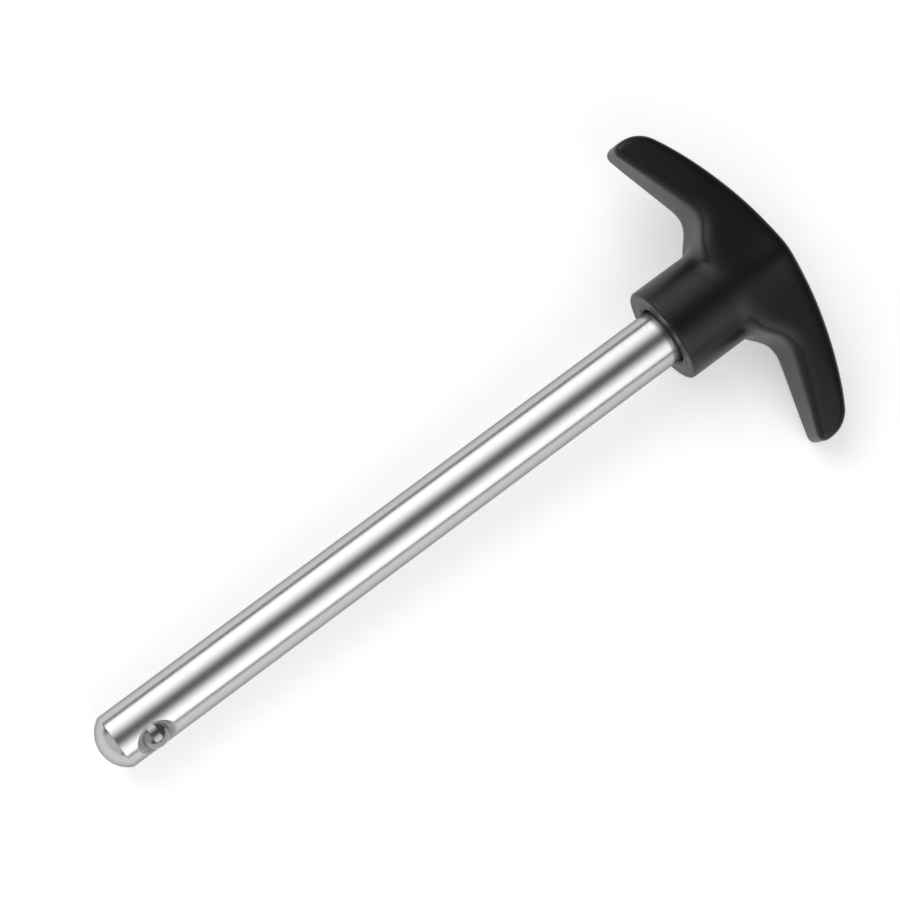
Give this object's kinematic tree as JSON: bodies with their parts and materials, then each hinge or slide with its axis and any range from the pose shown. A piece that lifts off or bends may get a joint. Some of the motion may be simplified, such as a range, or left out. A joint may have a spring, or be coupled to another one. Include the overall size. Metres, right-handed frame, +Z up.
{
  "type": "weight stack pin",
  "caption": "Selector pin for a weight stack: a round steel rod with a domed tip, a spring-loaded detent ball near the tip and a black crescent pull handle.",
  "frame": {"origin": "middle of the base of the pin's box, as the pin lies at rest on its tip, its hub and one arm of the handle", "axes": "+X along the rod towards the tip, which dips 1.9 degrees; +Y towards the arm that touches the surface; +Z up"},
  "size_m": [0.1428, 0.062, 0.0187],
  "materials": {
    "rod_steel": "polished",
    "ball_steel": "polished",
    "spring_steel": "satin",
    "handle_plastic": "satin"
  },
  "bodies": {
    "pin": {"rod": "rod_steel", "handle": "handle_plastic", "detent_spring": "spring_steel"},
    "ball": {"detent_ball": "ball_steel"}
  },
  "joints": [
    {"name": "ball_press", "type": "slide", "parent": "pin", "child": "ball", "axis": [-0.0214, -0.7715, -0.6359], "range_m": [0, 0.0013], "stiffness_N_per_m": 1500, "springref_m": -0.0011, "deforming": ["detent_spring"]}
  ]
}
